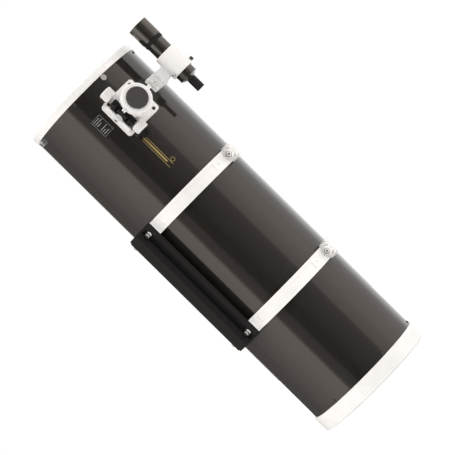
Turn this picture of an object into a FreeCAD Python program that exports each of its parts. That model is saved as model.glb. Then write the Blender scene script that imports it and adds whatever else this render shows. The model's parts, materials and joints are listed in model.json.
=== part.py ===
import FreeCAD, Part
import math
import os

# Newtonian telescope tube assembly, standing on its mirror end.  Millimetres.
# Tube axis is +Z, z = 0 is the face of the mirror-end ring.  Stations round the
# tube are modelled facing -Y and then turned about Z: 0 degrees faces -Y and
# 90 degrees faces +X.

# --- driving dimensions ---
TUBE_R = 179.0
TUBE_WALL = 1.5
TUBE_IN = TUBE_R - TUBE_WALL
SEAT_GAP = 0.1            # fixed pieces that sit inside one another
MOVE_GAP = 0.3            # pieces that move past one another
RUN_GAP = 0.05            # running fit of a shaft in its hole
REAR_RING_R = 185.0
REAR_RING_TOP = 47.0
FRONT_RING_R = 182.0
FRONT_RING_Z = 1097.0
OVERALL_LENGTH = 1119.0
TUBE_Z0 = 30.0
TUBE_Z1 = 1112.0

FOCUS_ANGLE = 20.0
FOCUS_Z = 981.0
FINDER_ANGLE = 64.5
FINDER_AXIS_R = 258.0
SPIDER_ANGLE = 22.0
SPIDER_Z = 1087.0

CRADLE_Z = (346.0, 712.0)
BAND_WIDTH = 40.0
BAND_IN = 182.0
BAND_OUT = 189.5
SPLIT_ANGLE = 57.0
HINGE_ANGLE = SPLIT_ANGLE - 180.0
HINGE_R = 197.0
FOOT_ANGLE = -50.0
PAD_ANGLE = 130.0
CLAMP_R = 204.0

PLATE_IN = 194.0
PLATE_FLANGE = 212.0
PLATE_OUT = 236.0
PLATE_Z = (321.0, 735.0)

FOCAL_LENGTH = 1200.0
MIRROR_R = 152.5
MIRROR_FACE_Z = 76.0
MIRROR_BACK_Z = 51.0
CELL_Z = (40.0, 48.0)
CELL_FRAME_Z = (20.0, 28.0)
COLLIMATION_R = 110.0
COLLIMATION_ANGLES = (0.0, 120.0, 240.0)
LOCK_BOLT_R = 82.0
FRAME_BOLT_R = 160.0
STEM_BOLT_R = 14.0
PLATE_BOLT_X = 36.0
SECONDARY_MINOR_R = 35.0

V = FreeCAD.Vector
UP = V(0, 0, 1)
CENTRE = V(0, 0, 0)


# --- helpers ---
def disc(radius, z0, z1, x=0.0, y=0.0):
    return Part.makeCylinder(radius, z1 - z0, V(x, y, z0), UP)


def pipe(outer, inner, z0, z1, x=0.0, y=0.0):
    return disc(outer, z0, z1, x, y).cut(disc(inner, z0 - 1, z1 + 1, x, y))


def block(x0, x1, r0, r1, z0, z1):
    # r counts outwards from the tube axis, towards -Y
    return Part.makeBox(x1 - x0, r1 - r0, z1 - z0, V(x0, -r1, z0))


def peg(radius, r0, r1, x=0.0, z=0.0):
    # a round bar that points outwards
    return Part.makeCylinder(radius, r1 - r0, V(x, -r0, z), V(0, -1, 0))


def sleeve(outer, inner, r0, r1, x=0.0, z=0.0):
    return peg(outer, r0, r1, x, z).cut(peg(inner, r0 - 1, r1 + 1, x, z))


def cross_rod(radius, x0, x1, r, z):
    return Part.makeCylinder(radius, x1 - x0, V(x0, -r, z), V(1, 0, 0))


def turned(shape, angle):
    moved = shape.copy()
    moved.rotate(CENTRE, UP, angle)
    return moved


def joined(*shapes):
    whole = shapes[0]
    for extra in shapes[1:]:
        whole = whole.fuse(extra)
    return whole.removeSplitter()


def less(shape, *tools):
    for tool in tools:
        shape = shape.cut(tool)
    return shape


def softened(shape, size, picks):
    edges = [edge for edge in shape.Edges if picks(edge)]
    return shape.makeFillet(size, edges) if edges else shape


def upright(edge):
    ends = [vertex.Point for vertex in edge.Vertexes]
    return len(ends) == 2 and abs(ends[0].z - ends[1].z) < 1e-6 and (
        abs(ends[0].x - ends[1].x) < 1e-6 and abs(ends[0].y - ends[1].y) > 1.0)


def prism(points, z0, z1):
    # points are (x, r) pairs of the section
    outline = [V(x, -r, z0) for x, r in points]
    outline.append(outline[0])
    return Part.Face(Part.makePolygon(outline)).extrude(V(0, 0, z1 - z0))


def wedge(angle0, angle1, radius, z0, z1):
    # a sector of a disc between two station angles
    steps = max(2, int(abs(angle1 - angle0) // 60) + 2)
    outline = [V(0, 0, z0)]
    for i in range(steps):
        a = math.radians(angle0 + (angle1 - angle0) * i / (steps - 1))
        outline.append(V(2 * radius * math.sin(a), -2 * radius * math.cos(a), z0))
    outline.append(outline[0])
    sector = Part.Face(Part.makePolygon(outline)).extrude(V(0, 0, z1 - z0))
    return sector.common(disc(radius, z0, z1))


def arc_band(inner, outer, angle0, angle1, z0, z1):
    return wedge(angle0, angle1, outer, z0, z1).cut(disc(inner, z0 - 1, z1 + 1))


def hexagon(size, r0, r1, x, z):
    # a hexagonal head that points outwards; size is across the flats
    corner = size / math.sqrt(3.0)
    outline = []
    for i in range(7):
        a = math.radians(60.0 * i)
        outline.append(V(x + corner * math.cos(a), -r0, z + corner * math.sin(a)))
    return Part.Face(Part.makePolygon(outline)).extrude(V(0, -(r1 - r0), 0))


def knurled(radius, height, ribs, depth):
    # a knob standing on z = 0 with shallow grooves round its rim
    knob = Part.makeCylinder(radius, height)
    knob = softened(knob, 0.8, lambda edge: len(edge.Vertexes) == 1)
    grooves = []
    for i in range(ribs):
        a = 2.0 * math.pi * i / ribs
        x = (radius + depth) * math.cos(a)
        y = (radius + depth) * math.sin(a)
        grooves.append(Part.makeCylinder(2.0 * depth, height + 2, V(x, y, -1), UP))
    return knob.cut(Part.makeCompound(grooves))


def aimed(shape, at, direction):
    # moves a shape that stands on z = 0 to a point, its +Z along a direction
    moved = shape.copy()
    moved.Placement = FreeCAD.Placement(at, FreeCAD.Rotation(UP, direction))
    return moved


def save(name, shape):
    shape.exportStep("parts/" + name + ".step")


def ring_stations(start, count):
    return [start + 360.0 * i / count for i in range(count)]


# --- end rings and tube ---
REAR_SCREWS = ring_stations(22.0, 6)
FRONT_SCREWS = ring_stations(-11.0, 4)
SPIDER_STATIONS = ring_stations(SPIDER_ANGLE, 4)
REAR_SCREW_Z = 54.0
FRONT_SCREW_Z = 1089.0
SCREW_R = 2.0
PORT_R = 36.0


def screw_holes(angles, z, radius=SCREW_R + SEAT_GAP):
    return Part.makeCompound([turned(peg(radius, 150.0, 195.0, 0.0, z), a) for a in angles])


def pan_screw(seat, x, z):
    head = peg(4.2, seat, seat + 2.4, x, z)
    head = softened(head, 1.0, lambda edge: edge.BoundBox.YMax < -seat - 2.0
                    and len(edge.Vertexes) == 1)
    slot = block(x - 0.5, x + 0.5, seat + 1.3, seat + 5, z - 2.6, z + 2.6)
    cross = block(x - 2.6, x + 2.6, seat + 1.3, seat + 5, z - 0.5, z + 0.5)
    shank = peg(SCREW_R, seat - 6.0, seat, x, z)
    return less(joined(head, shank), slot, cross)


def tube_screws():
    screws = [turned(pan_screw(TUBE_R, 0.0, REAR_SCREW_Z), a) for a in REAR_SCREWS]
    screws += [turned(pan_screw(TUBE_R, 0.0, FRONT_SCREW_Z), a) for a in FRONT_SCREWS]
    screws += [finder_at(pan_screw(SHOE_FLOOR, x, z)) for x, z in shoe_screw_spots()]
    return Part.makeCompound(screws)


def tube_shell():
    shell = pipe(TUBE_R, TUBE_IN, TUBE_Z0, TUBE_Z1)
    port = turned(peg(PORT_R, 150.0, 200.0, 0.0, FOCUS_Z), FOCUS_ANGLE)
    return less(shell, port, screw_holes(REAR_SCREWS, REAR_SCREW_Z),
                screw_holes(FRONT_SCREWS, FRONT_SCREW_Z),
                screw_holes(SPIDER_STATIONS, SPIDER_Z, 2.6),
                shoe_screw_holes())


def rear_ring():
    skirt = pipe(REAR_RING_R, TUBE_R + SEAT_GAP, TUBE_Z0, REAR_RING_TOP)
    base = pipe(REAR_RING_R, 170.0, 0.0, TUBE_Z0)
    inner = pipe(TUBE_IN - SEAT_GAP, 170.0, TUBE_Z0 - 1, 62.0)
    ledge = pipe(171.0, 146.0, 12.0, CELL_FRAME_Z[0])
    ring = joined(base, skirt, inner, ledge)
    ring = softened(ring, 3.0, lambda edge: len(edge.Vertexes) == 1 and edge.Curve.Radius > 184.9
                    and abs(edge.BoundBox.ZMax - REAR_RING_TOP) < 0.1)
    ring = softened(ring, 5.0, lambda edge: len(edge.Vertexes) == 1 and edge.Curve.Radius > 184.9
                    and abs(edge.BoundBox.ZMax) < 0.1)
    bolts = [turned(disc(2.6, 5.0, 30.0, 0.0, -FRAME_BOLT_R), a) for a in COLLIMATION_ANGLES]
    return less(ring, screw_holes(REAR_SCREWS, REAR_SCREW_Z), Part.makeCompound(bolts))


def front_ring():
    skirt = pipe(FRONT_RING_R, TUBE_R + SEAT_GAP, FRONT_RING_Z, TUBE_Z1)
    nose = pipe(FRONT_RING_R, 171.0, TUBE_Z1 + SEAT_GAP, OVERALL_LENGTH)
    inner = pipe(TUBE_IN - SEAT_GAP, 175.0, 1080.0, TUBE_Z1 + 1)
    ring = joined(nose, inner, skirt.fuse(pipe(FRONT_RING_R, TUBE_R + SEAT_GAP, TUBE_Z1 - 1, TUBE_Z1 + 1)))
    ring = softened(ring, 3.0, lambda edge: len(edge.Vertexes) == 1 and edge.Curve.Radius > 170.9
                    and abs(edge.BoundBox.ZMax - OVERALL_LENGTH) < 0.1)
    return less(ring, screw_holes(FRONT_SCREWS, FRONT_SCREW_Z),
                screw_holes(SPIDER_STATIONS, SPIDER_Z, 2.6))


# --- secondary mirror on its spider ---
HUB_Z = (1070.0, 1104.0)
HUB_R = 22.0
VANE_END = 174.6
STEM_R = 4.0
HOLDER_TOP = 1062.0


def spider():
    hub = disc(HUB_R, *HUB_Z)
    hub = softened(hub, 2.0, lambda edge: len(edge.Vertexes) == 1 and edge.BoundBox.ZMin > 1103.0)
    parts = [hub]
    for angle in SPIDER_STATIONS:
        vane = block(-0.6, 0.6, HUB_R - 2.0, VANE_END - 4.0, 1072.0, 1102.0)
        end = block(-5.0, 5.0, VANE_END - 10.0, VANE_END, 1079.0, 1095.0)
        parts.append(turned(vane.fuse(end), angle))
    holes = [turned(peg(2.5, VANE_END - 8.0, VANE_END + 2.0, 0.0, SPIDER_Z), a)
             for a in SPIDER_STATIONS]
    for i in range(3):
        holes.append(turned(disc(2.1, 1060.0, 1110.0, 0.0, -STEM_BOLT_R), 60.0 + 120.0 * i))
    holes.append(disc(STEM_R + RUN_GAP, 1060.0, 1110.0))
    return less(joined(*parts), Part.makeCompound(holes))


def spider_knobs():
    knobs = []
    for angle in SPIDER_STATIONS:
        knob = aimed(knurled(8.0, 9.5, 20, 0.5), V(0, -TUBE_R, SPIDER_Z), V(0, -1, 0))
        stud = peg(2.4, VANE_END - 7.0, TUBE_R + 1.0, 0.0, SPIDER_Z)
        knobs.append(turned(knob.fuse(stud), angle))
    return Part.makeCompound(knobs)


def slanted(radius, face_offset, thickness):
    # the slice of a disc between two planes at 45 degrees that face the focuser
    bar = disc(radius, FOCUS_Z - 90.0, FOCUS_Z + 90.0)
    slab = Part.makeBox(240.0, thickness, 240.0, V(-120.0, 0.0, -120.0))
    slab.rotate(CENTRE, V(1, 0, 0), 45.0)
    slab.translate(V(0, face_offset, FOCUS_Z + face_offset))
    return bar.common(slab)


def secondary_mirror():
    return turned(slanted(SECONDARY_MINOR_R, 0.0, 12.0), FOCUS_ANGLE)


def secondary_holder():
    bar = disc(SECONDARY_MINOR_R - 1.0, FOCUS_Z - 60.0, HOLDER_TOP)
    keep = Part.makeBox(300.0, 200.0, 300.0, V(-150.0, 12.1, -150.0))
    keep.rotate(CENTRE, V(1, 0, 0), 45.0)
    keep.translate(V(0, 0, FOCUS_Z))
    body = bar.common(keep)
    socket = disc(STEM_R + 0.7, HOLDER_TOP - 14.0, HOLDER_TOP + 1)
    dome = disc(8.4, HOLDER_TOP - 14.0, HOLDER_TOP - 5.0)
    return turned(less(body, socket, dome), FOCUS_ANGLE)


def secondary_stem():
    shank = disc(STEM_R, HOLDER_TOP - 8.0, HUB_Z[1] + 0.4)
    head = disc(7.0, HUB_Z[1] + 0.4, HUB_Z[1] + 6.4)
    head = softened(head, 1.0, lambda edge: len(edge.Vertexes) == 1 and edge.BoundBox.ZMin > 1110.0)
    foot = disc(7.2, HOLDER_TOP - 11.0, HOLDER_TOP - 6.5)
    return joined(shank, head, foot)


def secondary_screws():
    screws = []
    for i in range(3):
        shank = disc(2.0, HOLDER_TOP + 1.2, HUB_Z[1] + 1.0, 0.0, -STEM_BOLT_R)
        head = disc(3.4, HUB_Z[1] + 0.1, HUB_Z[1] + 4.0, 0.0, -STEM_BOLT_R)
        recess = disc(1.6, HUB_Z[1] + 2.0, HUB_Z[1] + 5.0, 0.0, -STEM_BOLT_R)
        screws.append(turned(less(shank.fuse(head), recess), 60.0 + 120.0 * i))
    return Part.makeCompound(screws)


# --- primary mirror and its cell ---
def primary_mirror():
    blank = disc(MIRROR_R, MIRROR_BACK_Z, MIRROR_FACE_Z + 8.0)
    ball = Part.makeSphere(2.0 * FOCAL_LENGTH, V(0, 0, MIRROR_FACE_Z + 2.0 * FOCAL_LENGTH))
    rim = MIRROR_FACE_Z + MIRROR_R ** 2 / (4.0 * FOCAL_LENGTH)
    glass = less(blank, ball)
    return glass.common(disc(MIRROR_R + 1.0, MIRROR_BACK_Z, rim + 0.5))


def mirror_cell():
    plate = disc(156.5, *CELL_Z)
    vents = []
    for i in range(6):
        vents.append(turned(disc(24.0, 30.0, 60.0, 0.0, -70.0), 30.0 + 60.0 * i))
    vents.append(disc(28.0, 30.0, 60.0))
    pads = []
    for i in range(6):
        pads.append(turned(disc(10.0, CELL_Z[1], MIRROR_BACK_Z, 0.0, -118.0), 30.0 + 60.0 * i))
    bolts = [turned(disc(3.4, 30.0, 60.0, 0.0, -COLLIMATION_R), a) for a in COLLIMATION_ANGLES]
    return less(joined(plate, *pads), Part.makeCompound(vents), Part.makeCompound(bolts))


def mirror_clips():
    clips = []
    for angle in COLLIMATION_ANGLES:
        post = block(-9.0, 9.0, MIRROR_R + 0.3, 156.4, CELL_Z[1], 84.0)
        tip = block(-9.0, 9.0, MIRROR_R - 6.0, 156.4, 81.4, 84.0)
        clips.append(turned(joined(post, tip), angle))
    return Part.makeCompound(clips)


def cell_frame():
    rim = pipe(169.5, 148.0, *CELL_FRAME_Z)
    hub = disc(42.0, *CELL_FRAME_Z)
    arms = [turned(block(-17.0, 17.0, 30.0, 150.0, *CELL_FRAME_Z), a) for a in COLLIMATION_ANGLES]
    holes = [disc(30.0, 10.0, 40.0)]
    for angle in COLLIMATION_ANGLES:
        holes.append(turned(disc(3.0 + RUN_GAP, 10.0, 40.0, 0.0, -COLLIMATION_R), angle))
        holes.append(turned(disc(2.6, 10.0, 40.0, 0.0, -LOCK_BOLT_R), angle))
        holes.append(turned(disc(2.6, 10.0, 40.0, 0.0, -FRAME_BOLT_R), angle))
    return less(joined(rim, hub, *arms), Part.makeCompound(holes))


def cell_springs():
    coils = [turned(pipe(7.5, 4.5, CELL_FRAME_Z[1], CELL_Z[0], 0.0, -COLLIMATION_R), a)
             for a in COLLIMATION_ANGLES]
    return Part.makeCompound(coils)


def cell_frame_screws():
    screws = []
    for angle in COLLIMATION_ANGLES:
        head = disc(4.6, CELL_FRAME_Z[1], CELL_FRAME_Z[1] + 3.5, 0.0, -FRAME_BOLT_R)
        shank = disc(2.5, 13.0, CELL_FRAME_Z[1] + 1.0, 0.0, -FRAME_BOLT_R)
        screws.append(turned(head.fuse(shank), angle))
    return Part.makeCompound(screws)


def cell_lock_screws():
    screws = []
    for angle in COLLIMATION_ANGLES:
        head = aimed(knurled(6.5, 7.0, 16, 0.4), V(0, -LOCK_BOLT_R, 12.5), UP)
        shank = disc(2.5, 14.0, CELL_Z[0] - 1.5, 0.0, -LOCK_BOLT_R)
        screws.append(turned(head.fuse(shank), angle))
    return Part.makeCompound(screws)


def collimation_knob(angle):
    head = aimed(knurled(11.0, 12.0, 22, 0.6), V(0, -COLLIMATION_R, CELL_FRAME_Z[0] - 12.4), UP)
    shank = disc(3.0, CELL_FRAME_Z[0] - 2.0, CELL_Z[1] - 0.5, 0.0, -COLLIMATION_R)
    return turned(head.fuse(shank), angle)


# --- focuser, modelled facing -Y at z = FOCUS_Z and turned to its station ---
FLANGE_TOP = 195.0
HOUSING_R = 39.0
HOUSING_TOP = 247.0
DRAW_R = 28.0
DRAW_BORE = 25.4
DRAW_FLAT = 27.0
SHAFT_R = 3.0
SHAFT_X = -(DRAW_FLAT + SHAFT_R + RUN_GAP)
SHAFT_H = 215.0
COLLAR_R = 42.0
COLLAR = (251.0, 271.0)
CAP_R = 30.0
BLOCK_X = (-45.0, -28.3)
BLOCK_H = (203.0, 229.0)
BLOCK_Z = 40.0
BEARING_R = 3.5
THUMB_TURNS = (0.0, 180.0)
THUMB_H = 262.0
TENSION_H = 210.0
LOCK_H = 224.0


def focuser_at(shape):
    moved = shape.copy()
    moved.translate(V(0, 0, FOCUS_Z))
    return turned(moved, FOCUS_ANGLE)


def flange_points():
    return [(x, z) for x in (-41.0, 41.0) for z in (-44.5, 44.5)]


def focuser_base():
    plate = block(-55.0, 55.0, 160.0, FLANGE_TOP, -55.0, 55.0)
    plate = softened(plate, 9.0, upright)
    ridge = block(-54.0, -47.0, 170.0, 204.0, -43.0, 43.0)
    ridge = softened(ridge, 3.0, lambda edge: edge.BoundBox.YMax < -203.0)
    arch = cross_rod(11.0, -54.0, -47.0, 203.0, 0.0)
    top_boss = block(36.0, 52.0, 170.0, 206.0, -12.0, 12.0)
    top_boss = softened(top_boss, 5.0, upright)
    base = joined(plate, ridge, arch, top_boss)
    saddle = disc(TUBE_R + SEAT_GAP, -80.0, 80.0)
    tools = [saddle, peg(33.0, 150.0, 260.0), cross_rod(3.2, -60.0, -40.0, TENSION_H, 0.0)]
    tools += [peg(2.7, 150.0, 210.0, x, z) for x, z in flange_points()]
    return focuser_at(less(base, *tools))


def focuser_screws():
    screws = []
    for x, z in flange_points():
        head = peg(4.4, FLANGE_TOP, FLANGE_TOP + 1.2, x, z)
        recess = peg(2.2, FLANGE_TOP - 1.0, FLANGE_TOP + 2.0, x, z)
        shank = peg(2.6, 184.0, FLANGE_TOP + 0.5, x, z)
        screws.append(less(head.fuse(shank), recess))
    return focuser_at(Part.makeCompound(screws))


def bearing_spots():
    # four rollers on the side away from the shaft, as (turn about the bore, height)
    return [(turn, height) for turn in (-35.0, 35.0) for height in (205.0, 236.0)]


def about_bore(shape, turn):
    moved = shape.copy()
    moved.rotate(CENTRE, V(0, -1, 0), turn)
    return moved


def focuser_housing():
    drum = peg(HOUSING_R, FLANGE_TOP, HOUSING_TOP)
    drum = softened(drum, 2.0, lambda edge: len(edge.Vertexes) == 1
                    and edge.BoundBox.YMax < -(HOUSING_TOP - 0.5))
    skirt = peg(HOUSING_R + 6.0, FLANGE_TOP, FLANGE_TOP + 7.0)
    housing = joined(drum, skirt)
    window = block(-60.0, BLOCK_X[1] + 0.2, FLANGE_TOP - 1, HOUSING_TOP + 1, -BLOCK_Z - 0.5, BLOCK_Z + 0.5)
    tools = [peg(30.6, FLANGE_TOP - 5, HOUSING_TOP + 5), window]
    for turn, height in bearing_spots():
        pocket = block(24.0, 36.0, height - 6.0, height + 6.0, -3.0, 3.0)
        tools.append(about_bore(pocket, turn))
    tools.append(cross_rod(2.5 + RUN_GAP, 20.0, 60.0, LOCK_H, 0.0))
    tools.append(block(36.0, 60.0, FLANGE_TOP - 1, 206.2, -12.2, 12.2))
    tools.append(shaft_piece(SHAFT_R + MOVE_GAP, -60.0, 60.0))
    return focuser_at(less(housing, *tools))


def draw_bearings():
    rollers = []
    for turn, height in bearing_spots():
        middle = DRAW_R + MOVE_GAP * 0.2 + BEARING_R
        roller = Part.makeCylinder(BEARING_R, 5.0, V(middle, -height, -2.5), UP)
        rollers.append(about_bore(roller, turn))
    return focuser_at(Part.makeCompound(rollers))


def shaft_bracket():
    body = block(BLOCK_X[0], BLOCK_X[1], BLOCK_H[0], BLOCK_H[1], -BLOCK_Z, BLOCK_Z)
    body = softened(body, 4.0, lambda edge: edge.BoundBox.XMax < BLOCK_X[0] + 0.5
                    and edge.BoundBox.ZLength > 50.0)
    foot = block(-44.0, -34.0, FLANGE_TOP, BLOCK_H[0] + 1.0, -34.0, 34.0)
    shaft = Part.makeCylinder(SHAFT_R + RUN_GAP, 120.0, V(SHAFT_X, -SHAFT_H, -60.0), UP)
    waist = block(-50.0, -37.5, BLOCK_H[0] - 1, BLOCK_H[1] + 1, 17.0, 22.0)
    waist_low = block(-50.0, -37.5, BLOCK_H[0] - 1, BLOCK_H[1] + 1, -22.0, -17.0)
    thread = cross_rod(2.5 + RUN_GAP, -60.0, -35.0, TENSION_H, 0.0)
    return focuser_at(less(joined(body, foot), shaft, waist, waist_low, thread))


def shaft_piece(radius, z0, z1):
    return Part.makeCylinder(radius, z1 - z0, V(SHAFT_X, -SHAFT_H, z0), UP)


def dished_knob(radius, z0, z1, ribs, dish):
    knob = knurled(radius, abs(z1 - z0), ribs, 0.7)
    inset = Part.makeCylinder(radius - 5.0, dish, V(0, 0, abs(z1 - z0) - dish), UP)
    knob = knob.cut(inset)
    direction = UP if z1 > z0 else V(0, 0, -1)
    return aimed(knob, V(SHAFT_X, -SHAFT_H, z0), direction)


def focus_shaft():
    return focuser_at(shaft_piece(SHAFT_R, -64.0, 70.0))


def coarse_knobs():
    front = dished_knob(18.5, 49.0, 76.0, 36, 2.0)
    rear = dished_knob(18.5, -44.0, -67.0, 36, 1.0)
    pair = Part.makeCompound([front, rear])
    return focuser_at(pair.cut(shaft_piece(SHAFT_R, -64.0, 70.0)))


def fine_knob():
    return focuser_at(dished_knob(13.5, -67.4, -87.0, 28, 1.5))


def drawtube():
    tube = sleeve(DRAW_R, DRAW_BORE, 152.0, COLLAR[0] + 6.0)
    flat = block(-40.0, -DRAW_FLAT, 150.0, 249.0, -40.0, 40.0)
    return focuser_at(tube.cut(flat))


def collar_thumb_holes():
    return [thumb_spot(a, 2.0 + RUN_GAP, 24.0, 60.0) for a in THUMB_TURNS]


def thumb_spot(turn, radius, near, far):
    # a bar across the collar, at a turn about the bore
    bar = cross_rod(radius, near, far, THUMB_H, 0.0)
    return about_bore(bar, turn)


def collar():
    body = sleeve(COLLAR_R, DRAW_R + SEAT_GAP, COLLAR[0], COLLAR[0] + 6.0)
    head = sleeve(COLLAR_R, DRAW_BORE, COLLAR[0] + 6.0, COLLAR[1])
    whole = joined(body, head)
    whole = softened(whole, 2.0, lambda edge: len(edge.Vertexes) == 1 and edge.Curve.Radius > 41.0)
    groove = sleeve(COLLAR_R + 1.0, COLLAR_R - 1.0, COLLAR[0] + 3.0, COLLAR[0] + 4.5)
    return focuser_at(less(whole, groove, *collar_thumb_holes()))


def collar_thumbscrew(turn):
    shank = cross_rod(2.0, DRAW_BORE + 0.4, 46.0, THUMB_H, 0.0)
    head = aimed(knurled(5.5, 9.0, 14, 0.4), V(43.0, -THUMB_H, 0.0), V(1, 0, 0))
    return focuser_at(about_bore(joined(shank, head), turn))


def eyepiece_cap():
    plug = sleeve(DRAW_BORE - MOVE_GAP, DRAW_BORE - 3.0, COLLAR[1] - 8.0, COLLAR[1] + 1.0)
    lid = peg(CAP_R, COLLAR[1] + MOVE_GAP, COLLAR[1] + 6.0)
    lid = softened(lid, 1.5, lambda edge: len(edge.Vertexes) == 1
                   and edge.BoundBox.YMax < -(COLLAR[1] + 5.5))
    return focuser_at(joined(plug, lid))


def tension_screw():
    shank = cross_rod(2.5, -57.0, -35.5, TENSION_H, 0.0)
    head = aimed(knurled(6.0, 8.0, 16, 0.4), V(-56.0, -TENSION_H, 0.0), V(-1, 0, 0))
    return focuser_at(joined(shank, head))


def lock_screw():
    shank = cross_rod(2.5, DRAW_R + 0.4, 48.0, LOCK_H, 0.0)
    head = aimed(knurled(6.5, 9.0, 16, 0.4), V(45.0, -LOCK_H, 0.0), V(1, 0, 0))
    return focuser_at(joined(shank, head))


# --- finder, modelled facing -Y and turned to its station ---
SHOE_Z = (965.0, 1007.0)
SHOE_FLOOR = 184.0
SHOE_TOP = 195.0
SHOE_HALF = 42.0
SHOE_BOLT_X = 34.0
SHOE_THUMB_H = 190.0
SHOE_THUMB_Z = 986.0
FINDER_SCREW_Z = 962.0
FINDER_SCREW_TURNS = (64.5, -25.5)
PLUNGER_TURN = 199.5
FINDER_R = 26.3
BRACKET_IN = 28.5
BRACKET_OUT = 33.5
PIVOT_Z = 1013.0


def finder_at(shape):
    return turned(shape, FINDER_ANGLE)


def shoe_screw_spots():
    return [(x, z) for x in (-SHOE_BOLT_X, SHOE_BOLT_X) for z in (975.0, 997.0)]


def shoe_screw_holes():
    holes = [peg(2.1, 150.0, 200.0, x, z) for x, z in shoe_screw_spots()]
    return finder_at(Part.makeCompound(holes))


def finder_shoe():
    base = block(-SHOE_HALF, SHOE_HALF, 165.0, SHOE_FLOOR, *SHOE_Z)
    base = softened(base, 4.0, upright)
    rails = block(-25.0, 25.0, SHOE_FLOOR - 1.0, SHOE_TOP, *SHOE_Z)
    groove = prism([(-17.0, SHOE_FLOOR), (17.0, SHOE_FLOOR), (13.0, SHOE_TOP + 1), (-13.0, SHOE_TOP + 1)],
                   SHOE_Z[0] - 1, SHOE_Z[1] + 1)
    tools = [groove, disc(TUBE_R + SEAT_GAP, 900.0, 1050.0)]
    tools += [peg(2.1, 150.0, 200.0, x, z) for x, z in shoe_screw_spots()]
    tools.append(cross_rod(2.5 + RUN_GAP, -SHOE_HALF - 3.0, -10.0, SHOE_THUMB_H, SHOE_THUMB_Z))
    return finder_at(less(joined(base, rails), *tools))


def shoe_thumbscrew():
    shank = cross_rod(2.5, -SHOE_HALF - 2.0, -14.1, SHOE_THUMB_H, SHOE_THUMB_Z)
    head_at = V(-SHOE_HALF - 1.0, -SHOE_THUMB_H, SHOE_THUMB_Z)
    head = aimed(knurled(7.0, 9.0, 18, 0.4), head_at, V(-1, 0, 0))
    return finder_at(joined(shank, head))


def finder_bracket():
    low = SHOE_FLOOR + MOVE_GAP
    foot = prism([(-14.7, low), (14.7, low), (11.0, SHOE_TOP + 2.0), (-11.0, SHOE_TOP + 2.0)],
                 SHOE_Z[0], SHOE_Z[1])
    stalk = block(-10.0, 10.0, SHOE_TOP, FINDER_AXIS_R - 27.0, 966.5, 1004.0)
    stalk = softened(stalk, 6.0, upright)
    ring = disc(BRACKET_OUT, 953.0, 1023.0, 0.0, -FINDER_AXIS_R)
    ring = softened(ring, 2.0, lambda edge: len(edge.Vertexes) == 1)
    bore = disc(BRACKET_IN, 940.0, 1030.0, 0.0, -FINDER_AXIS_R)
    tools = [bore]
    tools += [finder_rod(turn, 2.0 + RUN_GAP, 27.0, 40.0) for turn in FINDER_SCREW_TURNS]
    tools.append(finder_rod(PLUNGER_TURN, 3.0 + RUN_GAP, 27.0, 40.0))
    return finder_at(less(joined(foot, stalk, ring), *tools))


def finder_rod(turn, radius, near, far):
    # a bar square to the finder axis; 90 degrees points away from the main tube
    a = math.radians(turn)
    way = V(math.cos(a), -math.sin(a), 0)
    start = V(0, -FINDER_AXIS_R, FINDER_SCREW_Z) + way * near
    return Part.makeCylinder(radius, far - near, start, way)


def finder_screw(turn):
    a = math.radians(turn)
    way = V(math.cos(a), -math.sin(a), 0)
    head_at = V(0, -FINDER_AXIS_R, FINDER_SCREW_Z) + way * 34.3
    shank = finder_rod(turn, 2.0, FINDER_R + 0.35, 38.0)
    head = aimed(knurled(5.5, 8.0, 14, 0.4), head_at, way)
    return finder_at(joined(shank, head))


def finder_plunger():
    tip = finder_rod(PLUNGER_TURN, 3.0, FINDER_R + 0.35, 36.5)
    barrel = finder_rod(PLUNGER_TURN, 4.5, 35.0, 42.0)
    return finder_at(joined(tip, barrel))


def finder_ring():
    ring = Part.makeTorus(27.6, 0.9, V(0, -FINDER_AXIS_R, PIVOT_Z), UP)
    return finder_at(ring)


def finder_pipe(outer, inner, z0, z1):
    return pipe(outer, inner, z0, z1, 0.0, -FINDER_AXIS_R)


def finder_tube():
    barrel = finder_pipe(FINDER_R, 24.6, 938.0, 1071.0)
    tail = finder_pipe(26.8, 14.0, 933.0, 952.0)
    cone = Part.makeCone(12.5, 26.0, 8.0, V(0, -FINDER_AXIS_R, 925.5), UP)
    bore = disc(10.6, 920.0, 960.0, 0.0, -FINDER_AXIS_R)
    room = disc(22.0, 938.0, 1075.0, 0.0, -FINDER_AXIS_R)
    return finder_at(less(joined(barrel, tail, cone), bore, room))


def finder_lock_ring():
    ring = knurled(28.2, 11.0, 48, 0.5)
    ring = aimed(ring, V(0, -FINDER_AXIS_R, 1059.5), UP)
    return finder_at(ring.cut(disc(FINDER_R + SEAT_GAP, 1050.0, 1080.0, 0.0, -FINDER_AXIS_R)))


def dew_shield():
    front = finder_pipe(29.3, 27.6, 1082.0, 1126.0)
    neck = finder_pipe(29.3, 24.2, 1071.4, 1083.0)
    return finder_at(joined(front, neck))


def finder_objective():
    centre = V(0, -FINDER_AXIS_R, 1078.0)
    front = Part.makeSphere(90.0, centre - V(0, 0, 84.5))
    back = Part.makeSphere(110.0, centre + V(0, 0, 105.5))
    lens = disc(24.1, 1070.0, 1090.0, 0.0, -FINDER_AXIS_R)
    return finder_at(lens.common(front).common(back))


def finder_eyepiece():
    grip = finder_pipe(12.4, 9.6, 888.0, 925.4)
    stub = finder_pipe(10.5, 9.0, 920.0, 935.0)
    return finder_at(joined(grip, stub))


def finder_eye_lens():
    eye = V(0, -FINDER_AXIS_R, 896.0)
    lens = disc(9.5, 890.0, 902.0, 0.0, -FINDER_AXIS_R)
    return finder_at(lens.common(Part.makeSphere(30.0, eye + V(0, 0, 27.0))))


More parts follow.
